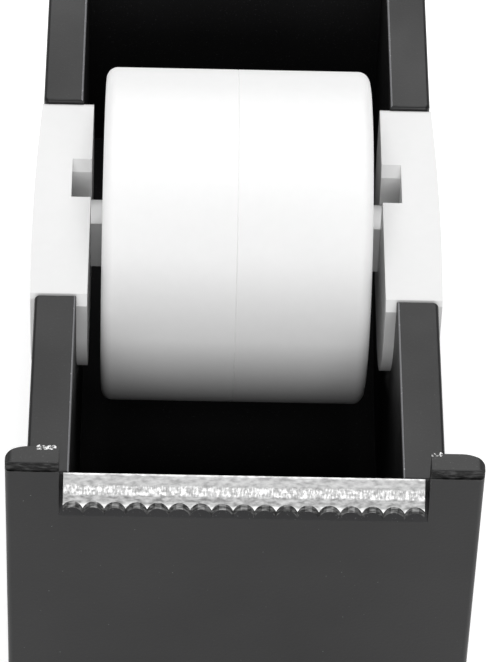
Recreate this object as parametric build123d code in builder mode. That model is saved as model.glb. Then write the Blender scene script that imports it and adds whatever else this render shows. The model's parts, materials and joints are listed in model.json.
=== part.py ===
from build123d import *
import os
from math import cos, radians, sin, sqrt, tan

# A heavy desk tape dispenser for rolls on 3-inch (76 mm) cores.
# Millimetres.  +X is the user's right, +Y is away from the blade, +Z is up.
# The origin lies on the table, under the middle of the whole object.

# ---- driving dimensions ----

SPINDLE_HEIGHT = 72.0            # spindle axis above the table
SPINDLE_Y = 3.21                 # spindle axis behind the middle of the object
BODY_X = -1.7                    # middle of the walls; the front plate is centred on X = 0

BODY_WIDTH = 87.1
WALL = 9.0
SKIN = 2.5                       # moulded wall round the hollows
WALL_TOP = 17.9                  # heights and depths below are taken from the spindle axis
FRONT_END = -89.1
REAR_END = 88.0
REAR_TOP_RADIUS = 26.0
REAR_CORNER_RADIUS = 6.0
FOOT_HEIGHT = 3.0
BASE = FOOT_HEIGHT - SPINDLE_HEIGHT
COVER_THICKNESS = 2.5
COVER_TOP = BASE + COVER_THICKNESS
EDGE_ROUND = 0.8
WALL_END_ROUND = 1.2             # outer edges of the cut-outs in the side walls
WALL_HOLLOW_INSET = 2.2          # moulded wall between the trough and a side wall's hollow
WELL_CLEAR = 400.0               # bigger than the whole object, for cutting things clear away

ROLL_RADIUS = 64.0               # the trough's round floor
TROUGH_FRONT = -82.8
TROUGH_REAR = 79.0
TROUGH_SHOULDER = -45.0          # where the trough's end walls meet its floor
FRONT_WALL_TOP = 8.0             # the wall behind the blade stops here
CAVITY_TOP = -22.0

PLATE_WIDTH = 98.9
PLATE_THICKNESS = 4.3
PLATE_FRONT = FRONT_END - PLATE_THICKNESS
EAR_TOP = 25.8
NOTCH_WIDTH = 76.7
NOTCH_FLOOR = 9.4
PLATE_FRONT_ROUND = 1.2
PLATE_REAR_CORNER = (5.0, 2.0)   # how far the rounded rear corners reach, across and in depth
PLATE_REAR_BULGE = 0.55          # of those corners' arcs, from the chord
EAR_CORNER_ROUND = 1.6           # outer top corners, seen from the front
EAR_BAND_HEIGHT = 2.6            # shallow band under the ears' top lip
EAR_BAND_DEPTH = 0.4
EAR_LIP = 0.5
NOTCH_SLOPE = 39.8               # degrees, the notch's floor rises to the rear
PLATE_SKIN = 1.0                 # left in front of the blind screw holes

BLADE_LENGTH = 75.0
BLADE_THICKNESS = 1.3
BLADE_SLOPE = 43.5               # degrees below level
BLADE_REACH = 7.25               # from the bend to the tooth tips, on the upper face
BLADE_FLANGE_END = -2.0
BLADE_HEEL = 17.9                # height of the bend
BLADE_SEAT_ROOM = 0.2            # round the flange in its seat
BLADE_SEAT_PLAY = 0.05           # in front of the flange
TOOTH_PITCH = 4.45
GULLETS = 17
GULLET_RADIUS = 2.47
GULLET_LEAN = 45.0               # the gullets are ground slanting, so the teeth lean outwards

BLOCK_FRONT = -37.1
BLOCK_REAR = 24.0
BLOCK_TOP = 17.1
BLOCK_BOTTOM = -14.7
BLOCK_CORNER = 20.0
BLOCK_GAP = 0.1                  # round the block in its cut-out
FLANGE_INNER = 32.25             # block flange, measured out from the body's middle
FLANGE_LAP = 1.0
FLANGE_CHAMFER = 1.9
BLOCK_BULGE = (0.2, 1.15, 0.95)  # how far it stands proud: rear, middle, front
BLOCK_KEY = 0.5                  # the block's body starts this far inside its flange
BLOCK_HOLE_DEPTH = 8.0

SLOT_WIDTH = 8.0
SLOT_END = 36.55
SLOT_MOUTH = 2.1

SPINDLE_RADIUS = 7.70
SPINDLE_LENGTH = 72.6
SPINDLE_FLATS = 7.66
FLATS_START = 29.6
GROOVE_START = 28.2
GROOVE_WIDTH = 1.0
GROOVE_RADIUS = 6.9
SPINDLE_CHAMFER = 0.5
RING_RADIUS = 10.2
RING_GAP = 9.0
RING_PLAY = 0.05                 # between a ring and the sides of its groove
RING_BORE_PLAY = 0.02
DRAG_WASHER_RADIUS = 11.6
SPRING_WASHER_RADIUS = 11.2
SPRING_THICKNESS = 0.3

HUB_RADIUS = 37.25
HUB_WIDTH = 58.75
HUB_RIM = 3.0
RIM_BITE = 0.6                   # the ribs reach this far into the rim
HUB_ROUND = 2.5
SEAM_CHAMFER = 0.12              # where the two halves meet
WEB_INNER = 23.5
WEB_OUTER = 26.0
BOSS_START = 12.0
BOSS_RADIUS = 13.0
BUSHING_RADIUS = 10.0
BUSHING_BORE = 7.75
BUSHING_FLANGE = 1.3
BUSHING_FLANGE_RADIUS = 12.0
POST_RADIUS = 4.0
POST_CIRCLE = 24.0
RIB_THICKNESS = 2.0
LIP_THICKNESS = 1.4
LIP_LENGTH = 2.5
LIP_CLEARANCE = 0.05

M3 = 1.5                         # thread radii
M25 = 1.25
M3_HEAD = (2.8, 1.8)             # radius and height of the heads
M3_LOW_HEAD = (2.8, 1.1)
M25_HEAD = (2.0, 1.4)
BLADE_SCREW_LENGTH = 9.0
PLATE_SCREW_LENGTH = 5.5
BLOCK_SCREW_LENGTH = 14.0
COVER_SCREW_LENGTH = 10.0
HUB_SCREW_LENGTH = 35.0
FREE_HOLE = 0.15                 # radial room round a shank in a free hole
THREAD_ROOM = 0.02               # radial room round a shank in its thread

COVER_BOSS_RADIUS = 5.2
COVER_BOSS_HEIGHT = 16.0
COVER_BOSS_HOLE = 11.0
COVER_HEAD_RECESS = (3.2, 1.2)   # radius and depth
COVER_ROOM = 0.15                # round the cover in its recess
FOOT_RADIUS = 8.0
FOOT_SEAT = 1.0                  # the feet are glued this deep in the cover
BALLAST_ROOM = 1.0
BALLAST_HALF_WIDTH = 30.0
BALLAST_HEIGHT = 60.0            # as tall as the hollow allows

# ---- shared planes, all through the spindle axis at the body's middle ----

middle = (BODY_X, SPINDLE_Y, SPINDLE_HEIGHT)
side_plane = Plane(origin=middle, x_dir=(0, 1, 0), z_dir=(1, 0, 0))     # draws (depth, height)
front_plane = Plane(origin=middle, x_dir=(1, 0, 0), z_dir=(0, -1, 0))   # draws (across, height)
top_plane = Plane(origin=middle)                                        # draws (across, depth)
plate_middle = (0, SPINDLE_Y, SPINDLE_HEIGHT)
plate_plane = Plane(origin=plate_middle, x_dir=(1, 0, 0), z_dir=(0, -1, 0))
plate_rear_plane = Plane(origin=plate_middle, x_dir=(-1, 0, 0), z_dir=(0, 1, 0))
spindle_axis = Axis(middle, (1, 0, 0))

SIDES = {"left": -1, "right": 1}


def save(piece, name):
    """Label a finished sub-part and write it as one STEP file."""
    piece.part.label = name
    export_step(piece.part, f"parts/{name}.step")


# ---- outlines drawn on the side plane ----

def body_outline(inset):
    """Side view of the body, with its rounded rear top corner, drawn in by inset."""
    width = REAR_END - FRONT_END - 2 * inset
    height = WALL_TOP - BASE - inset
    with BuildSketch() as outline:
        with Locations(((FRONT_END + REAR_END) / 2, BASE + height / 2)):
            Rectangle(width, height)
        rear_top = outline.vertices().group_by(Axis.Y)[-1].sort_by(Axis.X)[-1]
        fillet(rear_top, REAR_TOP_RADIUS - inset)
    return outline.sketch


def trough_outline(grow):
    """Side view of the trough: upright end walls, and a floor rounded under the roll."""
    front = TROUGH_FRONT - grow
    rear = TROUGH_REAR + grow
    open_top = 2 * WALL_TOP
    with BuildSketch() as outline:
        Circle(ROLL_RADIUS + grow)
        with Locations(((front + rear) / 2, (open_top + TROUGH_SHOULDER) / 2)):
            Rectangle(rear - front, open_top - TROUGH_SHOULDER)
        make_hull()
    return outline.sketch


def block_outline(grow, top):
    """Side view of a bearing block, or of its cut-out when it is grown."""
    bottom = BLOCK_BOTTOM - grow
    with BuildSketch() as outline:
        with Locations(((BLOCK_FRONT + BLOCK_REAR) / 2, (top + bottom) / 2)):
            Rectangle(BLOCK_REAR - BLOCK_FRONT + 2 * grow, top - bottom)
        fillet(outline.vertices().group_by(Axis.Y)[0], BLOCK_CORNER + grow)
    return outline.sketch


def hollow_outline(inset):
    """Side view of the hollows in front of, under and behind the trough."""
    with BuildSketch() as outline:
        add(body_outline(SKIN + inset))
        add(trough_outline(SKIN + inset), mode=Mode.SUBTRACT)
        with Locations(((FRONT_END + REAR_END) / 2, CAVITY_TOP - inset)):
            Rectangle(WELL_CLEAR, WELL_CLEAR, align=(Align.CENTER, Align.MIN), mode=Mode.SUBTRACT)
    return outline.sketch


os.makedirs("parts", exist_ok=True)


# ---- body shell ----

trough_half = BODY_WIDTH / 2 - WALL
hollow_half = BODY_WIDTH / 2 - SKIN
wall_slot_inner = trough_half + WALL_HOLLOW_INSET
block_screw_across = (wall_slot_inner + hollow_half) / 2

cover_corners = [(x, y) for x in (-36.0, 36.0) for y in (-81.6, 80.5)]
block_screw_depths = (-15.0, 2.0)
blade_screw_spots = [(x, 2.5) for x in (-24.0, 0.0, 24.0)]
plate_screw_spots = [(x, -57.0) for x in (-27.0, -9.0, 9.0, 27.0)]
blade_spots_on_body = [(x - BODY_X, z) for x, z in blade_screw_spots]
plate_spots_on_body = [(x - BODY_X, z) for x, z in plate_screw_spots]

with BuildPart() as body_shell:
    with BuildSketch(side_plane):
        add(body_outline(0))
    extrude(amount=BODY_WIDTH / 2, both=True)
    with BuildSketch(side_plane):
        add(trough_outline(0))
    extrude(amount=trough_half, both=True, mode=Mode.SUBTRACT)
    # the wall behind the blade is cut down between the side walls
    with BuildSketch(front_plane.offset(-TROUGH_FRONT - 1)):
        with Locations((0, FRONT_WALL_TOP)):
            Rectangle(2 * trough_half, WALL_TOP, align=(Align.CENTER, Align.MIN))
    extrude(amount=2 * WALL, mode=Mode.SUBTRACT)
    # hollows in the base
    with BuildSketch(side_plane):
        add(hollow_outline(0))
    extrude(amount=hollow_half, both=True, mode=Mode.SUBTRACT)
    # hollows in the side walls, open below
    for side in SIDES.values():
        with BuildSketch(side_plane.offset(side * wall_slot_inner)):
            add(body_outline(SKIN))
            with Locations((0, CAVITY_TOP)):
                Rectangle(WELL_CLEAR, WELL_CLEAR, align=(Align.CENTER, Align.MIN), mode=Mode.SUBTRACT)
        extrude(amount=side * (hollow_half - wall_slot_inner), mode=Mode.SUBTRACT)
    # recess for the base cover
    with BuildSketch(top_plane.offset(BASE)):
        with Locations((0, (FRONT_END + REAR_END) / 2)):
            Rectangle(2 * hollow_half, REAR_END - FRONT_END - 2 * SKIN)
    extrude(amount=COVER_THICKNESS, mode=Mode.SUBTRACT)
    # cut-outs for the bearing blocks
    with BuildSketch(side_plane):
        add(block_outline(BLOCK_GAP, 2 * WALL_TOP))
    extrude(amount=BODY_WIDTH, both=True, mode=Mode.SUBTRACT)
    # rounded outer edges of the cut-outs
    wall_ends = body_shell.edges().filter_by(Axis.Z).filter_by_position(
        Axis.Y, SPINDLE_Y + BLOCK_FRONT - 1, SPINDLE_Y + BLOCK_REAR + 1
    )
    for outer_face in (BODY_X - BODY_WIDTH / 2, BODY_X + BODY_WIDTH / 2):
        fillet(wall_ends.filter_by_position(Axis.X, outer_face - 1, outer_face + 1), WALL_END_ROUND)
    # soft top edges
    fillet(body_shell.faces().filter_by(Axis.Z).group_by(Axis.Z)[-1].edges(), EDGE_ROUND)
    # rounded rear corners, seen from above
    with BuildSketch(top_plane.offset(BASE)) as plan:
        with Locations((0, (FRONT_END + REAR_END) / 2)):
            Rectangle(BODY_WIDTH, REAR_END - FRONT_END)
        fillet(plan.vertices().group_by(Axis.Y)[-1], REAR_CORNER_RADIUS)
    extrude(amount=2 * SPINDLE_HEIGHT, mode=Mode.INTERSECT)
    # bosses for the cover screws
    with BuildSketch(top_plane.offset(COVER_TOP)):
        with Locations(*cover_corners):
            Circle(COVER_BOSS_RADIUS)
    extrude(amount=COVER_BOSS_HEIGHT)
    with BuildSketch(top_plane.offset(COVER_TOP)):
        with Locations(*cover_corners):
            Circle(M3 + THREAD_ROOM)
    extrude(amount=COVER_BOSS_HOLE, mode=Mode.SUBTRACT)
    # holes up into the bearing blocks
    for side in SIDES.values():
        with BuildSketch(top_plane.offset(CAVITY_TOP)):
            with Locations(*[(side * block_screw_across, y) for y in block_screw_depths]):
                Circle(M25 + FREE_HOLE)
        extrude(amount=WALL, mode=Mode.SUBTRACT)
    # holes for the blade's and the front plate's screws
    with BuildSketch(front_plane.offset(-TROUGH_FRONT - WALL)):
        with Locations(*blade_spots_on_body, *plate_spots_on_body):
            Circle(M3 + FREE_HOLE)
    extrude(amount=3 * WALL, mode=Mode.SUBTRACT)
save(body_shell, "body_shell")


# ---- front plate with its two ears ----

notch_rise = tan(radians(NOTCH_SLOPE))      # per millimetre of depth
plate_half = PLATE_WIDTH / 2
corner_across, corner_depth = PLATE_REAR_CORNER

with BuildPart() as front_plate:
    with BuildSketch(plate_plane.offset(-FRONT_END)):
        with Locations((0, (EAR_TOP + BASE) / 2)):
            Rectangle(PLATE_WIDTH, EAR_TOP - BASE)
    extrude(amount=PLATE_THICKNESS)
    fillet(front_plate.edges().filter_by(Axis.Y).group_by(Axis.Z)[-1], EAR_CORNER_ROUND)
    # seen from above: rounded front corners, and rear corners that sweep in
    with BuildSketch(Plane(origin=(0, SPINDLE_Y, 0))) as plate_plan:
        with BuildLine():
            Polyline(
                (0, PLATE_FRONT),
                (plate_half, PLATE_FRONT),
                (plate_half, FRONT_END - corner_depth),
            )
            SagittaArc(
                (plate_half, FRONT_END - corner_depth),
                (plate_half - corner_across, FRONT_END),
                -PLATE_REAR_BULGE,
            )
            Line((plate_half - corner_across, FRONT_END), (0, FRONT_END))
            mirror(about=Plane.YZ)
        make_face()
        front_corners = plate_plan.vertices().group_by(Axis.Y)[0].sort_by(Axis.X)
        fillet([front_corners[0], front_corners[-1]], PLATE_FRONT_ROUND)
    extrude(amount=2 * SPINDLE_HEIGHT, mode=Mode.INTERSECT)
    # notch between the ears, its floor sloping up to the rear
    with BuildSketch(side_plane.offset(-BODY_X)):
        with BuildLine():
            Polyline(
                (PLATE_FRONT - 1, NOTCH_FLOOR - notch_rise),
                (FRONT_END + 1, NOTCH_FLOOR + (PLATE_THICKNESS + 1) * notch_rise),
                (FRONT_END + 1, 2 * EAR_TOP),
                (PLATE_FRONT - 1, 2 * EAR_TOP),
                close=True,
            )
        make_face()
    extrude(amount=NOTCH_WIDTH / 2, both=True, mode=Mode.SUBTRACT)
    # seat for the blade's flange
    with BuildSketch(plate_plane.offset(-FRONT_END)):
        with Locations((0, BLADE_FLANGE_END - BLADE_SEAT_ROOM)):
            Rectangle(BLADE_LENGTH + 2 * BLADE_SEAT_ROOM, 2 * EAR_TOP, align=(Align.CENTER, Align.MIN))
    extrude(amount=BLADE_THICKNESS + BLADE_SEAT_PLAY, mode=Mode.SUBTRACT)
    # shallow band under each ear's lip
    with BuildSketch(plate_plane.offset(-PLATE_FRONT)):
        with Locations((0, EAR_TOP - EAR_LIP)):
            Rectangle(PLATE_WIDTH, EAR_BAND_HEIGHT, align=(Align.CENTER, Align.MAX))
    extrude(amount=-EAR_BAND_DEPTH, mode=Mode.SUBTRACT)
    # threaded holes, blind from the rear
    with BuildSketch(plate_plane.offset(-FRONT_END)):
        with Locations(*blade_screw_spots, *plate_screw_spots):
            Circle(M3 + THREAD_ROOM)
    extrude(amount=PLATE_THICKNESS - PLATE_SKIN, mode=Mode.SUBTRACT)
save(front_plate, "front_plate")


# ---- cutting blade: a strip bent over at the heel, with ground scallops ----

strip_slope = radians(BLADE_SLOPE)
blade_plane = Plane(
    origin=(0, SPINDLE_Y + FRONT_END, SPINDLE_HEIGHT + BLADE_HEEL),
    x_dir=(1, 0, 0),
    z_dir=(0, -sin(strip_slope), cos(strip_slope)),
)
tooth_half = TOOTH_PITCH / 2
gullet_line = -BLADE_REACH - sqrt(GULLET_RADIUS**2 - tooth_half**2)
gullet_centres = [(TOOTH_PITCH * (i - (GULLETS - 1) / 2), gullet_line) for i in range(GULLETS)]
gullet_lean = radians(GULLET_LEAN)
grinding_direction = -blade_plane.z_dir * cos(gullet_lean) - blade_plane.y_dir * sin(gullet_lean)

with BuildPart() as cutting_blade:
    # flange trapped behind the front plate
    with BuildSketch(plate_plane.offset(-FRONT_END)):
        with Locations((0, (BLADE_HEEL + BLADE_FLANGE_END) / 2)):
            Rectangle(BLADE_LENGTH, BLADE_HEEL - BLADE_FLANGE_END)
    extrude(amount=BLADE_THICKNESS)
    # strip that leans out over the front plate
    with BuildSketch(blade_plane):
        with Locations((0, -BLADE_REACH)):
            Rectangle(BLADE_LENGTH, 2 * BLADE_REACH)
    extrude(amount=-BLADE_THICKNESS)
    # the heel stays in front of the walls, and the flange below the strip's upper face
    split(bisect_by=plate_plane.offset(-FRONT_END), keep=Keep.TOP)
    split(bisect_by=blade_plane, keep=Keep.BOTTOM)
    # gullets, and everything past the tooth tips
    with BuildSketch(blade_plane.offset(BLADE_THICKNESS)):
        upstream = BLADE_THICKNESS * tan(gullet_lean)
        with Locations(*[(x, y + upstream) for x, y in gullet_centres]):
            Circle(GULLET_RADIUS)
        with Locations((0, upstream - BLADE_REACH)):
            Rectangle(2 * BLADE_LENGTH, 3 * BLADE_REACH, align=(Align.CENTER, Align.MAX))
    extrude(amount=4 * BLADE_THICKNESS / cos(gullet_lean), dir=grinding_direction, mode=Mode.SUBTRACT)
    with BuildSketch(plate_plane.offset(-FRONT_END)):
        with Locations(*blade_screw_spots):
            Circle(M3 + FREE_HOLE)
    extrude(amount=BLADE_THICKNESS, mode=Mode.SUBTRACT)
save(cutting_blade, "cutting_blade")


# ---- screws ----

def screws(plane, spots, thread, length, head):
    """Cross-recessed pan-head screws: heads stand on the plane, shanks run against its normal."""
    head_radius, head_height = head
    recess_length = 1.1 * head_radius
    recess_width = 0.22 * head_radius
    recess_depth = 0.55 * head_height
    outward = Axis(plane.origin, plane.z_dir)
    with BuildPart() as group:
        with BuildSketch(plane):
            with Locations(*spots):
                Circle(head_radius)
        extrude(amount=head_height)
        fillet(group.edges().group_by(outward)[-1], 0.35 * head_height)
        with BuildSketch(plane.offset(head_height)):
            with Locations(*spots):
                Rectangle(recess_length, recess_width)
                Rectangle(recess_width, recess_length)
        extrude(amount=-recess_depth, mode=Mode.SUBTRACT)
        with BuildSketch(plane):
            with Locations(*spots):
                Circle(thread)
        extrude(amount=-length)
    return group


# the blade and the front plate are screwed on from inside the body
blade_screw_seat = plate_rear_plane.offset(TROUGH_FRONT)
blade_screws = screws(blade_screw_seat, blade_screw_spots, M3, BLADE_SCREW_LENGTH, M3_HEAD)
save(blade_screws, "blade_screws")

plate_screw_seat = plate_rear_plane.offset(FRONT_END + SKIN)
front_plate_screws = screws(plate_screw_seat, plate_screw_spots, M3, PLATE_SCREW_LENGTH, M3_HEAD)
save(front_plate_screws, "front_plate_screws")

# the bearing blocks are screwed on from below, up the hollow side walls
down_plane = Plane(origin=middle, x_dir=(1, 0, 0), z_dir=(0, 0, -1))    # draws (across, towards the user)
block_screw_spots = [(side * block_screw_across, -y) for side in SIDES.values() for y in block_screw_depths]
block_screw_seat = down_plane.offset(-CAVITY_TOP)
bearing_block_screws = screws(block_screw_seat, block_screw_spots, M25, BLOCK_SCREW_LENGTH, M25_HEAD)
save(bearing_block_screws, "bearing_block_screws")

cover_screw_spots = [(x, -y) for x, y in cover_corners]
cover_recess_radius, cover_recess_depth = COVER_HEAD_RECESS
cover_screw_seat = down_plane.offset(-BASE - cover_recess_depth)
base_cover_screws = screws(cover_screw_seat, cover_screw_spots, M3, COVER_SCREW_LENGTH, M3_LOW_HEAD)
save(base_cover_screws, "base_cover_screws")


# ---- bearing blocks ----

def bearing_block(side):
    """White block that fills a side wall's cut-out and holds one end of the spindle."""
    rear_bulge, middle_bulge, front_bulge = BLOCK_BULGE
    wall_face = BODY_WIDTH / 2
    flange_outer = trough_half
    with BuildPart() as block:
        # body of the block, cut to the side outline
        with BuildSketch(side_plane.offset(side * (flange_outer - BLOCK_KEY))):
            add(block_outline(0, BLOCK_TOP))
        extrude(amount=side * 2 * WALL)
        # flange against the wall's inner face
        with BuildSketch(side_plane.offset(side * FLANGE_INNER)):
            add(block_outline(FLANGE_LAP, BLOCK_TOP))
        extrude(amount=side * (flange_outer - FLANGE_INNER))
        # outer side swells past the wall
        with BuildSketch(top_plane.offset(BLOCK_BOTTOM - FLANGE_LAP)):
            with BuildLine():
                rear = (side * (wall_face + rear_bulge), BLOCK_REAR + FLANGE_LAP)
                crown = (side * (wall_face + middle_bulge), 0)
                front = (side * (wall_face + front_bulge), BLOCK_FRONT - FLANGE_LAP)
                ThreePointArc(rear, crown, front)
                Polyline(
                    front,
                    (side * FLANGE_INNER, BLOCK_FRONT - FLANGE_LAP),
                    (side * FLANGE_INNER, BLOCK_REAR + FLANGE_LAP),
                    rear,
                )
            make_face()
        extrude(amount=BLOCK_TOP - BLOCK_BOTTOM + FLANGE_LAP, mode=Mode.INTERSECT)
        # sloped top edge at the front of the flange
        flange_front = block.edges().filter_by(Axis.X).group_by(Axis.Z)[-1].sort_by(Axis.Y)[0]
        chamfer(flange_front, FLANGE_CHAMFER)
        flange_rear = block.edges().filter_by(Axis.X).group_by(Axis.Z)[-1].sort_by(Axis.Y)[-1]
        fillet(flange_rear, FLANGE_CHAMFER)
        # slot for the spindle's flatted end, round below and flared at its mouth
        with BuildSketch(side_plane.offset(side * FLANGE_INNER)):
            Circle(BUSHING_BORE)
            Rectangle(2 * BUSHING_BORE, 2 * BLOCK_TOP, align=(Align.CENTER, Align.MIN))
            Rectangle(SLOT_WIDTH, 4 * BLOCK_TOP, mode=Mode.INTERSECT)
            with BuildLine():
                Polyline(
                    (-SLOT_WIDTH / 2, BLOCK_TOP - SLOT_MOUTH),
                    (-SLOT_WIDTH / 2 - SLOT_MOUTH, BLOCK_TOP),
                    (SLOT_WIDTH / 2 + SLOT_MOUTH, BLOCK_TOP),
                    (SLOT_WIDTH / 2, BLOCK_TOP - SLOT_MOUTH),
                    close=True,
                )
            make_face()
        extrude(amount=side * (SLOT_END - FLANGE_INNER), mode=Mode.SUBTRACT)
        # threaded holes from below
        with BuildSketch(top_plane.offset(BLOCK_BOTTOM)):
            with Locations(*[(side * block_screw_across, y) for y in block_screw_depths]):
                Circle(M25 + THREAD_ROOM)
        extrude(amount=BLOCK_HOLE_DEPTH, mode=Mode.SUBTRACT)
    return block


for side_name, side in SIDES.items():
    save(bearing_block(side), f"{side_name}_bearing_block")


# ---- spindle and what stays on it ----

with BuildPart() as spindle:
    with BuildSketch(side_plane):
        Circle(SPINDLE_RADIUS)
    extrude(amount=SPINDLE_LENGTH / 2, both=True)
    chamfer(spindle.edges().filter_by(GeomType.CIRCLE), SPINDLE_CHAMFER)
    for side in SIDES.values():
        with BuildSketch(side_plane.offset(side * FLATS_START)):
            Circle(SPINDLE_RADIUS + 1)
            Rectangle(SPINDLE_FLATS, 4 * SPINDLE_RADIUS, mode=Mode.SUBTRACT)
        extrude(amount=side * SPINDLE_RADIUS, mode=Mode.SUBTRACT)
        with BuildSketch(side_plane.offset(side * GROOVE_START)):
            Circle(SPINDLE_RADIUS + 1)
            Circle(GROOVE_RADIUS, mode=Mode.SUBTRACT)
        extrude(amount=side * GROOVE_WIDTH, mode=Mode.SUBTRACT)
save(spindle, "spindle")

for side_name, side in SIDES.items():
    with BuildPart() as retaining_ring:
        with BuildSketch(side_plane.offset(side * (GROOVE_START + RING_PLAY))):
            Circle(RING_RADIUS)
            Circle(GROOVE_RADIUS + RING_BORE_PLAY, mode=Mode.SUBTRACT)
            # gap that lets the ring be pushed on from in front
            with Locations((-BUSHING_BORE, 0)):
                Rectangle(BUSHING_BORE, RING_GAP, mode=Mode.SUBTRACT)
        extrude(amount=side * (GROOVE_WIDTH - 2 * RING_PLAY))
    save(retaining_ring, f"{side_name}_retaining_ring")

stack_start = WEB_OUTER + BUSHING_FLANGE
stack_room = GROOVE_START - stack_start
washer_gap = 0.1                 # on the hub's side of the drag washer

with BuildPart() as drag_washer:
    with BuildSketch(side_plane.offset(-stack_start - washer_gap)):
        Circle(DRAG_WASHER_RADIUS)
        Circle(BUSHING_BORE, mode=Mode.SUBTRACT)
    extrude(amount=washer_gap - stack_room)
save(drag_washer, "drag_washer")

spring_gap = 0.15                # on the hub's side of the spring washer

with BuildPart() as spring_washer:
    # a dished spring ring that pushes the hub against the drag washer
    with BuildSketch(top_plane):
        with BuildLine():
            Polyline(
                (GROOVE_START - SPRING_THICKNESS, BUSHING_BORE),
                (GROOVE_START, BUSHING_BORE),
                (stack_start + SPRING_THICKNESS + spring_gap, SPRING_WASHER_RADIUS),
                (stack_start + spring_gap, SPRING_WASHER_RADIUS),
                close=True,
            )
        make_face()
    revolve(axis=spindle_axis)
save(spring_washer, "spring_washer")


# ---- hub: two moulded halves on two flanged bushings ----

post_angles = (90, 210, 330)
post_spots = [(POST_CIRCLE * cos(radians(a)), POST_CIRCLE * sin(radians(a))) for a in post_angles]


def hub_half(side):
    """One half of the core drum: rim, recessed end web, ribs, bushing boss and screw posts."""
    half_width = HUB_WIDTH / 2
    rim_inner = HUB_RADIUS - HUB_RIM
    with BuildPart() as half:
        with BuildSketch(side_plane):
            Circle(HUB_RADIUS)
        extrude(amount=side * half_width)
        outer_rim = half.edges().filter_by(GeomType.CIRCLE).sort_by(Axis.X)[-1 if side > 0 else 0]
        fillet(outer_rim, HUB_ROUND)
        seam = half.edges().filter_by(GeomType.CIRCLE).sort_by(Axis.X)[0 if side > 0 else -1]
        chamfer(seam, SEAM_CHAMFER)
        # recessed end
        with BuildSketch(side_plane.offset(side * WEB_OUTER)):
            Circle(rim_inner)
        extrude(amount=side * half_width, mode=Mode.SUBTRACT)
        # hollow inside, leaving the boss, the posts and the ribs standing
        with BuildSketch(side_plane):
            Circle(rim_inner)
            with Locations(*post_spots):
                Circle(POST_RADIUS, mode=Mode.SUBTRACT)
        extrude(amount=side * WEB_INNER, mode=Mode.SUBTRACT)
        with BuildSketch(side_plane.offset(side * BOSS_START)):
            Circle(BOSS_RADIUS)
            with PolarLocations(0, 6, start_angle=30):
                # each rib runs from the axis into the rim
                with Locations(((rim_inner + RIM_BITE) / 2, 0)):
                    Rectangle(rim_inner + RIM_BITE, RIB_THICKNESS)
        extrude(amount=side * (WEB_INNER - BOSS_START))
        # bushing bore
        with BuildSketch(side_plane):
            Circle(BUSHING_RADIUS)
        extrude(amount=side * HUB_WIDTH, mode=Mode.SUBTRACT)
        # screw holes: free in the left half, threaded in the right half
        with BuildSketch(side_plane):
            with Locations(*post_spots):
                Circle(M3 + (FREE_HOLE if side < 0 else THREAD_ROOM))
        extrude(amount=side * (HUB_WIDTH if side < 0 else BOSS_START), mode=Mode.SUBTRACT)
        # centring lip on the left half
        if side < 0:
            with BuildSketch(side_plane.offset(-LIP_LENGTH)):
                Circle(rim_inner)
                Circle(rim_inner - LIP_THICKNESS, mode=Mode.SUBTRACT)
            extrude(amount=LIP_LENGTH)
            with BuildSketch(side_plane):
                Circle(rim_inner - LIP_CLEARANCE)
                Circle(rim_inner - LIP_THICKNESS, mode=Mode.SUBTRACT)
            extrude(amount=LIP_LENGTH)
    return half


def hub_bushing(side):
    """Flanged plain bushing pressed into one end of the hub."""
    with BuildPart() as bushing:
        with BuildSketch(side_plane.offset(side * BOSS_START)):
            Circle(BUSHING_RADIUS)
        extrude(amount=side * (WEB_OUTER - BOSS_START))
        with BuildSketch(side_plane.offset(side * WEB_OUTER)):
            Circle(BUSHING_FLANGE_RADIUS)
        extrude(amount=side * BUSHING_FLANGE)
        with BuildSketch(side_plane):
            Circle(BUSHING_BORE)
        extrude(amount=side * HUB_WIDTH, mode=Mode.SUBTRACT)
    return bushing


for side_name, side in SIDES.items():
    save(hub_half(side), f"{side_name}_hub_half")
    save(hub_bushing(side), f"{side_name}_hub_bushing")

hub_screw_seat = side_plane.reverse().offset(WEB_OUTER)
hub_screw_spots = [(y, -z) for y, z in post_spots]
hub_screws = screws(hub_screw_seat, hub_screw_spots, M3, HUB_SCREW_LENGTH, M3_HEAD)
save(hub_screws, "hub_screws")


# ---- base: cover, ballast and feet ----

foot_spots = {
    "front_left": (-28.0, -72.0),
    "front_right": (28.0, -72.0),
    "rear_left": (-28.0, 71.0),
    "rear_right": (28.0, 71.0),
}

with BuildPart() as base_cover:
    with BuildSketch(top_plane.offset(BASE)):
        with Locations((0, (FRONT_END + REAR_END) / 2)):
            cover_width = 2 * (hollow_half - COVER_ROOM)
            cover_depth = REAR_END - FRONT_END - 2 * (SKIN + COVER_ROOM)
            Rectangle(cover_width, cover_depth)
        with Locations(*cover_corners):
            Circle(M3 + FREE_HOLE, mode=Mode.SUBTRACT)
    extrude(amount=COVER_THICKNESS)
    with BuildSketch(top_plane.offset(BASE)):
        with Locations(*cover_corners):
            Circle(cover_recess_radius)
    extrude(amount=cover_recess_depth, mode=Mode.SUBTRACT)
    with BuildSketch(top_plane.offset(BASE)):
        with Locations(*foot_spots.values()):
            Circle(FOOT_RADIUS)
    extrude(amount=FOOT_SEAT, mode=Mode.SUBTRACT)
save(base_cover, "base_cover")

for foot_name, spot in foot_spots.items():
    with BuildPart() as foot:
        with BuildSketch(top_plane.offset(BASE - FOOT_HEIGHT)):
            with Locations(spot):
                Circle(FOOT_RADIUS)
        extrude(amount=FOOT_HEIGHT + FOOT_SEAT)
        fillet(foot.edges().group_by(Axis.Z)[0], EDGE_ROUND)
    save(foot, f"{foot_name}_foot")

ballast_spans = {"front_ballast": (-83.0, -30.0), "rear_ballast": (30.0, 82.5)}

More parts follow.
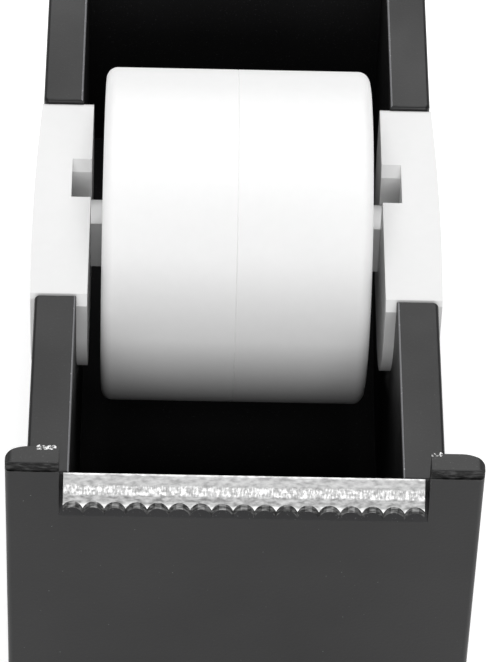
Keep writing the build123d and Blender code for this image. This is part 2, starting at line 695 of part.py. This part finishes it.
for ballast_name, (span_front, span_rear) in ballast_spans.items():
    with BuildPart() as ballast:
        with BuildSketch(side_plane):
            add(hollow_outline(BALLAST_ROOM))
            with Locations(((span_front + span_rear) / 2, COVER_TOP)):
                Rectangle(
                    span_rear - span_front,
                    BALLAST_HEIGHT,
                    align=(Align.CENTER, Align.MIN),
                    mode=Mode.INTERSECT,
                )
        extrude(amount=BALLAST_HALF_WIDTH, both=True)
    save(ballast, ballast_name)
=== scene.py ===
import json
import math
import random

import bmesh
import bpy
from mathutils import Matrix, Vector


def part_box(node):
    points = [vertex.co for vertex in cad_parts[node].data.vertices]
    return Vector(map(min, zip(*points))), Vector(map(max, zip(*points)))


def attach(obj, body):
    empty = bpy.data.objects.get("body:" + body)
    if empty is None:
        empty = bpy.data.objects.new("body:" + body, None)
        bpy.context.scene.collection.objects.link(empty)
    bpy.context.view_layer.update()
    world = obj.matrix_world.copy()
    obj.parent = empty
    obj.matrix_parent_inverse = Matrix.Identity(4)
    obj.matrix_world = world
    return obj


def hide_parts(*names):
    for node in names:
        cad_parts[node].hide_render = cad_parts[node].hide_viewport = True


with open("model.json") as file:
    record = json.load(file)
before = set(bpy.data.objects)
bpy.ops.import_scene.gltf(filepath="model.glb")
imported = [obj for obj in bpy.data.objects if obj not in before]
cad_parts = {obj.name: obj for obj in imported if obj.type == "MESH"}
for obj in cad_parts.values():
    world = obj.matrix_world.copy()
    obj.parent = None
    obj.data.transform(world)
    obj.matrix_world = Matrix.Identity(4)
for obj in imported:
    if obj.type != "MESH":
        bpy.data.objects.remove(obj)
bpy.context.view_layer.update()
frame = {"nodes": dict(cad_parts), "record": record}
MM = 0.001

# ---- places read from the frame ----


def middle(node):
    """Centre of a node's box at rest."""
    low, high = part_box(node)
    return (Vector(low) + Vector(high)) / 2


spindle_centre = middle("spindle")


# ---- camera: a long lens, looking down over the front plate ----

FRAME_HEIGHT = 36                # millimetres
LENS = 233.7                     # millimetres
PITCH = math.radians(45.76)      # below level
YAW = math.radians(1.59)
ROLL = math.radians(2.24)
DISTANCE = 0.987
AIM_RIGHT = 1.4 * MM             # of the middle of the object
AIM_BELOW = 30.6 * MM            # the spindle axis
TARGET = Vector((AIM_RIGHT, spindle_centre.y, spindle_centre.z - AIM_BELOW))


def add_camera():
    forward = Vector((
        math.sin(YAW) * math.cos(PITCH),
        math.cos(YAW) * math.cos(PITCH),
        -math.sin(PITCH),
    ))
    level_right = Vector((math.cos(YAW), -math.sin(YAW), 0))
    level_up = level_right.cross(forward)
    right = level_right * math.cos(ROLL) + level_up * math.sin(ROLL)
    up = level_up * math.cos(ROLL) - level_right * math.sin(ROLL)
    data = bpy.data.cameras.new("camera")
    data.sensor_fit = "VERTICAL"
    data.sensor_height = FRAME_HEIGHT
    data.lens = LENS
    data.clip_start = 0.01
    camera = bpy.data.objects.new("camera", data)
    turn = Matrix((right, up, -forward)).transposed().to_4x4()
    camera.matrix_world = Matrix.Translation(TARGET - forward * DISTANCE) @ turn
    bpy.context.collection.objects.link(camera)
    bpy.context.scene.camera = camera


# ---- studio: pale floor, three large soft lights, dim surroundings ----

SURROUNDINGS = 0.3               # strength of the even light from all round
FLOOR_REACH = 4.0                # metres each way
FLOOR_TONE = 0.96
FLOOR_GLOW = 0.35                # keeps the floor white where the lights fall off

def add_area_light(name, place, aim, width, depth, power):
    data = bpy.data.lights.new(name, "AREA")
    data.shape = "RECTANGLE"
    data.size = width
    data.size_y = depth
    data.energy = power
    light = bpy.data.objects.new(name, data)
    light.location = place
    light.rotation_euler = (Vector(aim) - Vector(place)).to_track_quat("-Z", "Y").to_euler()
    bpy.context.collection.objects.link(light)


def add_studio():
    scene = bpy.context.scene
    scene.view_settings.view_transform = "Standard"
    world = bpy.data.worlds.new("surroundings")
    world.use_nodes = True
    background = world.node_tree.nodes["Background"]
    background.inputs["Color"].default_value = (1, 1, 1, 1)
    background.inputs["Strength"].default_value = SURROUNDINGS
    scene.world = world

    add_area_light("overhead_softbox", (0, 0.24, 1.35), (0, 0, 0.06), 1.1, 0.85, 10)
    add_area_light("rear_softbox", (0, 1.25, 1.15), (0, 0, 0.08), 1.2, 0.7, 9)
    add_area_light("front_softbox", (0, -1.6, 0.85), (0, 0, 0.08), 1.3, 0.7, 19)

    floor_mesh = bpy.data.meshes.new("floor")
    reach = FLOOR_REACH
    floor_mesh.from_pydata(
        [(-reach, -reach, 0), (reach, -reach, 0), (reach, reach, 0), (-reach, reach, 0)],
        [],
        [(0, 1, 2, 3)],
    )
    floor = bpy.data.objects.new("floor", floor_mesh)
    bpy.context.collection.objects.link(floor)
    material = bpy.data.materials.new("floor_paper")
    material.use_nodes = True
    shader = material.node_tree.nodes["Principled BSDF"]
    shader.inputs["Base Color"].default_value = (*grey(FLOOR_TONE), 1)
    shader.inputs["Roughness"].default_value = 0.9
    shader.inputs["Emission Color"].default_value = (1, 1, 1, 1)
    shader.inputs["Emission Strength"].default_value = FLOOR_GLOW
    floor_mesh.materials.append(material)


# ---- materials ----

def grey(level):
    """A neutral colour of one level."""
    return (level, level, level)


class Surface:
    """A node material with a small vocabulary for grain, tone and wear."""

    def __init__(self, name, roughness, metallic=0.0):
        self.material = bpy.data.materials.new(name)
        self.material.use_nodes = True
        self.nodes = self.material.node_tree.nodes
        self.links = self.material.node_tree.links
        self.shader = self.nodes["Principled BSDF"]
        self.shader.inputs["Roughness"].default_value = roughness
        self.shader.inputs["Metallic"].default_value = metallic
        self.height = None

    def node(self, kind, **inputs):
        made = self.nodes.new(kind)
        for label, value in inputs.items():
            made.inputs[label.replace("_", " ")].default_value = value
        return made

    def noise(self, scale, detail=4.0, stretch=(1, 1, 1)):
        """Noise of so many ripples per metre, stretched along the axes."""
        place = self.nodes.new("ShaderNodeTexCoord")
        mapping = self.nodes.new("ShaderNodeMapping")
        mapping.inputs["Scale"].default_value = stretch
        self.links.new(place.outputs["Object"], mapping.inputs["Vector"])
        noise = self.node("ShaderNodeTexNoise", Scale=scale, Detail=detail)
        self.links.new(mapping.outputs["Vector"], noise.inputs["Vector"])
        return noise.outputs["Fac"]

    def height_mask(self, low, high, softness):
        """1 between two heights in metres, fading to 0 over the softness."""
        place = self.nodes.new("ShaderNodeTexCoord")
        split = self.nodes.new("ShaderNodeSeparateXYZ")
        self.links.new(place.outputs["Object"], split.inputs["Vector"])
        rise = self.band(split.outputs["Z"], 0, 1, low - softness, low + softness)
        fall = self.band(split.outputs["Z"], 1, 0, high - softness, high + softness)
        return self.combine("MULTIPLY", rise, fall)

    def combine(self, operation, first, second):
        """Join two values, or a value and a number, with a maths operation."""
        node = self.nodes.new("ShaderNodeMath")
        node.operation = operation
        self.links.new(first, node.inputs[0])
        if isinstance(second, (int, float)):
            node.inputs[1].default_value = second
        else:
            self.links.new(second, node.inputs[1])
        return node.outputs["Value"]

    def mix(self, mask, low, high):
        """Mix two colour outputs by a mask."""
        node = self.nodes.new("ShaderNodeMix")
        node.data_type = "RGBA"
        self.links.new(mask, node.inputs["Factor"])
        self.links.new(low, node.inputs["A"])
        self.links.new(high, node.inputs["B"])
        return node.outputs["Result"]

    def ramp(self, value, low, high, start=0.35, end=0.65):
        """Blend between two colours where the value runs from start to end."""
        ramp = self.nodes.new("ShaderNodeValToRGB")
        ramp.color_ramp.elements[0].position = start
        ramp.color_ramp.elements[0].color = (*low, 1)
        ramp.color_ramp.elements[1].position = end
        ramp.color_ramp.elements[1].color = (*high, 1)
        self.links.new(value, ramp.inputs["Fac"])
        return ramp.outputs["Color"]

    def band(self, value, low, high, start=0.35, end=0.65):
        """Map a value from its range onto two numbers."""
        band = self.node("ShaderNodeMapRange")
        numbers = {"From Min": start, "From Max": end, "To Min": low, "To Max": high}
        for label, number in numbers.items():
            band.inputs[label].default_value = number
        self.links.new(value, band.inputs["Value"])
        return band.outputs["Result"]

    def colour(self, output):
        self.links.new(output, self.shader.inputs["Base Color"])

    def roughness(self, output):
        self.links.new(output, self.shader.inputs["Roughness"])

    def bump(self, value, depth, strength=1.0):
        """Raise the surface by a value, in metres of depth, on top of earlier bumps."""
        bump = self.node("ShaderNodeBump", Strength=strength, Distance=depth)
        self.links.new(value, bump.inputs["Height"])
        if self.height is not None:
            self.links.new(self.height, bump.inputs["Normal"])
        self.height = bump.outputs["Normal"]
        self.links.new(self.height, self.shader.inputs["Normal"])


BLACK_SHINE = 0.32               # specular level of the black mouldings


def black_plastic(name, tone, gloss_low, gloss_high, grain_depth, shine=BLACK_SHINE):
    """Black semi-gloss moulding: fine grain, cloudy sheen and a few dust specks."""
    surface = Surface(name, gloss_high)
    surface.shader.inputs["Specular IOR Level"].default_value = shine
    cloud = surface.noise(35, detail=3)
    surface.roughness(surface.band(cloud, gloss_low, gloss_high))
    specks = surface.noise(2600, detail=1)
    dark = (tone, tone, tone * 1.05)
    pale = (tone * 3.2, tone * 3.2, tone * 3.3)
    surface.colour(surface.ramp(specks, dark, pale, 0.66, 0.78))
    surface.bump(surface.noise(1500, detail=6), grain_depth)
    return surface.material


EAR_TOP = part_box("front_plate")[1][2]
EAR_BAND_TOP = EAR_TOP - 0.45 * MM
EAR_BAND_HEIGHT = 2.8 * MM
BAND_SOFTNESS = 0.15 * MM
BAND_EXTRA_ROUGHNESS = 0.3
SAWN_STRETCH = (0.5, 1, 1.6)     # the saw marks run across the plate
SPECK_TONE = 0.12


def rough_edged_plate(name, tone, gloss_low, gloss_high, grain_depth):
    """Black plate with a few pale specks, a coarse sawn-looking band under its ears' top lip, and a
    speckled painted highlight on the lip and the ears' tops above it.
    """
    surface = Surface(name, gloss_high)
    surface.shader.inputs["Specular IOR Level"].default_value = BLACK_SHINE
    band = surface.height_mask(EAR_BAND_TOP - EAR_BAND_HEIGHT, EAR_BAND_TOP, BAND_SOFTNESS)
    cloud = surface.band(surface.noise(35, detail=3), gloss_low, gloss_high)
    band_roughness = surface.combine("MULTIPLY", band, BAND_EXTRA_ROUGHNESS)
    surface.roughness(surface.combine("ADD", cloud, band_roughness))

    dark = (tone, tone, tone * 1.05)
    smooth = surface.ramp(surface.noise(1700, detail=1), dark, grey(SPECK_TONE), 0.80, 0.84)
    saw_marks = surface.noise(1100, detail=5, stretch=SAWN_STRETCH)
    sawn = surface.ramp(saw_marks, grey(0.001), grey(0.045), 0.42, 0.7)
    # painted highlight, speckled, on the ears' top lip and the top faces above the band
    lip = surface.height_mask(EAR_BAND_TOP + 0.2 * MM, EAR_BAND_TOP + 10 * MM, 0.1 * MM)
    painted_highlight = surface.ramp(surface.noise(2600, detail=1), grey(0.018), grey(0.06), 0.66, 0.78)
    surface.colour(surface.mix(band, surface.mix(lip, smooth, painted_highlight), sawn))

    surface.bump(surface.noise(1500, detail=6), grain_depth)
    saw_grooves = surface.noise(1300, detail=5, stretch=SAWN_STRETCH)
    surface.bump(surface.combine("MULTIPLY", band, saw_grooves), 0.6 * MM)
    return surface.material


def white_plastic(name, tone, gloss):
    """White moulding with a faint uneven gloss."""
    surface = Surface(name, gloss)
    cloud = surface.noise(28, detail=3)
    surface.roughness(surface.band(cloud, gloss * 0.85, gloss * 1.15, 0.1, 0.9))
    mottle = surface.noise(420, detail=3)
    surface.colour(surface.ramp(mottle, grey(tone * 0.97), grey(tone), 0.1, 0.9))
    surface.bump(surface.noise(900, detail=4), 0.000004)
    return surface.material


STRIP_SLOPE = math.radians(43.5)
HEEL_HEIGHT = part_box("cutting_blade")[1][2]

# Distances down the blade's upper face from its heel, in metres.
# the band from just above the heel to here carries a painted highlight along the blade's edge
HEEL_HIGHLIGHT_END = 0.3 * MM
BURNISH_START = 2.4 * MM
BURNISH_END = 4.3 * MM
# the tooth points' band carries painted highlights
TIPS_START = 6.4 * MM
TIPS_END = 8.5 * MM
WORN_END = 12 * MM
ABOVE_HEEL = -1 * MM
BAND_EDGE = 0.2 * MM             # softness of the bands' edges
HEEL_HIGHLIGHT_EDGE = 0.1 * MM


def strip_band(surface, start, end, softness):
    """Mask for the part of the blade's upper face between two distances from its heel."""
    low = HEEL_HEIGHT - end * math.sin(STRIP_SLOPE)
    high = HEEL_HEIGHT - start * math.sin(STRIP_SLOPE)
    return surface.height_mask(low, high, softness)


def blade_face(name):
    """Bright blade: satin at the heel with a painted highlight along its edge, a ragged burnished
    line, then worn, with painted highlights on the tooth points.
    """
    surface = Surface(name, 0.4, metallic=1.0)
    burnish = strip_band(surface, BURNISH_START, BURNISH_END, BAND_EDGE)
    strokes = surface.noise(2700, detail=4, stretch=(1, 0.3, 0.3))
    ragged = surface.combine("MULTIPLY", burnish, surface.band(strokes, 0, 1, 0.42, 0.6))
    scratches = surface.noise(1500, detail=7, stretch=(0.45, 1, 1))
    below = strip_band(surface, BURNISH_END, WORN_END, BAND_EDGE)

    satin = surface.ramp(scratches, grey(0.26), grey(0.44), 0.3, 0.7)
    worn = surface.ramp(scratches, grey(0.16), grey(0.42), 0.3, 0.7)
    # bright steel for the burnished line and for the painted highlights
    bright = surface.ramp(scratches, grey(0.42), grey(0.85))
    # painted highlight along the heel's edge
    painted_heel_highlight = strip_band(surface, ABOVE_HEEL, HEEL_HIGHLIGHT_END, HEEL_HIGHLIGHT_EDGE)
    # painted highlights on the tooth points
    painted_tip_highlight = strip_band(surface, TIPS_START, TIPS_END, BAND_EDGE)
    burnish_and_painted_highlights = surface.combine("MAXIMUM", surface.combine("MAXIMUM", ragged, painted_heel_highlight), painted_tip_highlight)
    surface.colour(surface.mix(burnish_and_painted_highlights, surface.mix(below, satin, worn), bright))

    surface.roughness(surface.band(scratches, 0.5, 0.36))
    surface.bump(scratches, 0.012 * MM)
    surface.bump(ragged, 0.02 * MM)
    return surface.material


def ground_steel(name, dark, pale):
    """Ground faces inside the blade's gullets, mottled between two tones."""
    surface = Surface(name, 0.42, metallic=1.0)
    grinding = surface.noise(1600, detail=5, stretch=(0.4, 1, 1))
    surface.colour(surface.ramp(grinding, grey(dark), grey(pale), 0.4, 0.7))
    surface.bump(grinding, 0.00002)
    return surface.material


def scuffed_steel(name, tone, gloss, stretch):
    """Steel with fine scratches drawn out along one direction."""
    surface = Surface(name, gloss, metallic=1.0)
    scratches = surface.noise(1400, detail=8, stretch=stretch)
    surface.colour(surface.ramp(scratches, grey(tone * 0.7), grey(tone)))
    surface.roughness(surface.band(scratches, gloss * 1.3, gloss * 0.7))
    surface.bump(scratches, 0.00001)
    return surface.material


def matt(name, colour, roughness, grain, depth):
    """Matt rubber, felt or cast iron: a coarse grain and a mottled tone."""
    surface = Surface(name, roughness)
    mottle = surface.noise(grain, detail=6)
    low = tuple(c * 0.75 for c in colour)
    surface.colour(surface.ramp(mottle, low, colour))
    surface.bump(mottle, depth)
    return surface.material


def raw_edge(name):
    """Pale, broken-looking moulding where the surface has been scraped."""
    surface = Surface(name, 0.5)
    crumbs = surface.noise(2200, detail=4)
    surface.colour(surface.ramp(crumbs, grey(0.05), grey(0.95), 0.42, 0.55))
    surface.bump(crumbs, 0.2 * MM)
    return surface.material


MATERIALS = {
    "black_body": black_plastic("black_body", 0.006, 0.40, 0.50, 0.00002),
    "black_plate": rough_edged_plate("black_plate", 0.007, 0.42, 0.52, 0.00003),
    "black_cover": black_plastic("black_cover", 0.025, 0.6, 0.7, 0.00005),
    "white_block": white_plastic("white_block", 0.67, 0.4),
    "white_hub": white_plastic("white_hub", 0.80, 0.5),
    "spindle_plastic": white_plastic("spindle_plastic", 0.92, 0.4),
    "bushing_plastic": matt("bushing_plastic", (0.75, 0.73, 0.68), 0.45, 300, 0.00001),
    "blade_steel": blade_face("blade_steel"),
    "screw_steel": scuffed_steel("screw_steel", 0.6, 0.35, (1, 1, 1)),
    "ring_steel": scuffed_steel("ring_steel", 0.42, 0.35, (1, 1, 1)),
    "felt": matt("felt", grey(0.3), 0.95, 2500, 0.0002),
    "ballast_iron": matt("ballast_iron", grey(0.13), 0.75, 700, 0.0002),
    "foot_rubber": matt("foot_rubber", grey(0.03), 0.8, 1200, 0.00005),
}


# ---- pieces ----

SLOTS = {row["node"]: row["material_slot"] for row in frame["record"]["subparts"]}
BODIES = frame["record"]["behaviour"]["bodies"]
SHARP = math.radians(32)         # edges that turn more than this stay sharp
WELD = 0.002 * MM
SPECK_OF_EDGE = 0.001 * MM


def smooth_flats(piece):
    """Shade flat faces flat and rounds round, whatever triangles they are made of."""
    mesh = piece.data
    work = bmesh.new()
    work.from_mesh(mesh)
    bmesh.ops.remove_doubles(work, verts=work.verts, dist=WELD)
    bmesh.ops.dissolve_degenerate(work, edges=work.edges, dist=SPECK_OF_EDGE)
    for face in work.faces:
        face.smooth = True
    for edge in work.edges:
        edge.smooth = edge.is_manifold and edge.calc_face_angle() < SHARP
    work.to_mesh(mesh)
    work.free()
    weighted = piece.modifiers.new("flat_faces", "WEIGHTED_NORMAL")
    weighted.mode = "FACE_AREA"
    weighted.weight = 100
    weighted.keep_sharp = True


def finish_node(node):
    """Stand a cleanly shaded copy in for a CAD node, in the same place and of the same shape."""
    mesh = frame["nodes"][node].data.copy()
    if mesh.has_custom_normals:
        mesh.attributes.remove(mesh.attributes["custom_normal"])
    piece = bpy.data.objects.new(f"{node}_finished", mesh)
    bpy.context.collection.objects.link(piece)
    mesh.materials.clear()
    mesh.materials.append(MATERIALS[SLOTS[node]])
    for face in mesh.polygons:
        face.material_index = 0
    smooth_flats(piece)
    body = next(name for name, nodes in BODIES.items() if node in nodes)
    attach(piece, body)
    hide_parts(node)
    return piece


# ---- finishes on some of a piece's faces ----

FLANGE_DEPTH = 2 * MM            # the flange and the bend lie this near the body
TROUGH_END_WALL = 6.3 * MM
TROUGH_REAR_WALL = 9 * MM
SIDE_WALL = 9 * MM
RIM_HEIGHT = 1 * MM


def finish_faces(piece, materials, choose):
    """Add materials to a piece; choose gives each face's slot, or 0 to leave it as it is."""
    for material in materials:
        piece.data.materials.append(material)
    for face in piece.data.polygons:
        face.material_index = choose(face)


def finish_blade_faces(blade):
    """Plain steel on the flange, and ground steel inside the gullets with painted shade on their
    flanks and a painted highlight at each crown.
    """
    flange_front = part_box("cutting_blade")[1][1] - FLANGE_DEPTH
    materials = [
        # dark ground steel: painted shade on the gullets' flanks
        ground_steel("gullet_flank_painted_shade", 0.02, 0.14),
        # paler ground steel: a painted highlight at each gullet's crown
        ground_steel("gullet_crown_painted_highlight", 0.06, 0.3),
        scuffed_steel("flange_steel", 0.4, 0.4, (0.3, 1, 1)),
    ]
    flank, crown, flange = 1, 2, 3

    def choose(face):
        sideways = abs(face.normal.x)
        if abs(face.normal.z) >= 0.2:
            return 0
        if face.center.y > flange_front:
            return flange
        if sideways >= 0.97:
            return 0
        return crown if sideways < 0.2 else flank

    finish_faces(blade, materials, choose)


def paint_light_on_notch(plate):
    """The notch's sloping floor, duller than the face in front of it, and paler with painted light
    that lifts the blade's shadow on it.
    """

    def choose(face):
        sloping = 0.6 < face.normal.z < 0.9 and face.normal.y < -0.4
        return int(sloping and abs(face.normal.x) < 0.1)

    # the paler tone is painted light over the shade the blade casts on this floor
    finish_faces(plate, [black_plastic("notch_floor_painted_light", 0.03, 0.6, 0.7, 0.00003)], choose)


def finish_body_faces(body):
    """A duller black on the trough's floor and end walls, and a painted highlight on the rounded inner
    edges of the walls' tops.
    """
    low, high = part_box("body_shell")
    middle_x = (low[0] + high[0]) / 2
    materials = [
        black_plastic("trough_black", 0.013, 0.75, 0.9, 0.00003, shine=0.08),
        # a pale black for the painted highlight along the walls' rounded inner top edges
        black_plastic("painted_edge_highlight", 0.16, 0.4, 0.5, 0.00002, shine=0.5),
    ]
    trough, painted_highlight = 1, 2

    def choose(face):
        near_top = face.center.z > high[2] - RIM_HEIGHT
        faces_inwards = face.normal.x * (face.center.x - middle_x) < 0
        rounded = 0.3 < abs(face.normal.x) < 0.8 and face.normal.z > 0.4
        if near_top and rounded and faces_inwards:
            return painted_highlight
        across = low[0] + SIDE_WALL < face.center.x < high[0] - SIDE_WALL
        front = low[1] + TROUGH_END_WALL * 0.9
        rear = high[1] - TROUGH_REAR_WALL * 0.9
        below_rim = face.center.z < high[2] - SIDE_WALL * 0.2
        return trough if across and front < face.center.y < rear and below_rim else 0

    finish_faces(body, materials, choose)


# ---- burrs left along the rear top edges of the ears ----

LEFT_BURRS = (110, 6.6, 10.4)    # how many, and between which millimetres from the plate's end
RIGHT_BURRS = (14, 8.8, 11.0)


def add_ear_burrs():
    """Small rough lumps, each sunk partly into an ear."""
    draw = random.Random(11)
    low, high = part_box("front_plate")
    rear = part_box("body_shell")[0][1]
    work = bmesh.new()
    count, near, far = LEFT_BURRS
    spots = [low[0] + draw.uniform(near, far) * MM for _ in range(count)]
    count, near, far = RIGHT_BURRS
    spots += [high[0] - draw.uniform(near, far) * MM for _ in range(count)]
    for x in spots:
        size = draw.uniform(0.18, 0.48) * MM
        y = rear - draw.uniform(-0.05, 0.7) * MM
        z = high[2] - draw.uniform(0, 0.35) * MM
        angle = draw.uniform(0, math.tau)
        axis = Vector((draw.random(), draw.random(), 1)).normalized()
        made = bmesh.ops.create_icosphere(work, subdivisions=1, radius=size)
        for vertex in made["verts"]:
            vertex.co *= draw.uniform(0.6, 1.15)
        turn = Matrix.Rotation(angle, 4, axis)
        place = Matrix.Translation((x, y, z))
        bmesh.ops.transform(work, matrix=place @ turn, verts=made["verts"])
    mesh = bpy.data.meshes.new("ear_burrs")
    work.to_mesh(mesh)
    work.free()
    burrs = bpy.data.objects.new("ear_burrs", mesh)
    bpy.context.collection.objects.link(burrs)
    mesh.materials.append(raw_edge("raw_edge"))
    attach(burrs, "frame")


add_camera()
add_studio()
pieces = {node: finish_node(node) for node in SLOTS}
finish_blade_faces(pieces["cutting_blade"])
paint_light_on_notch(pieces["front_plate"])
finish_body_faces(pieces["body_shell"])
add_ear_burrs()
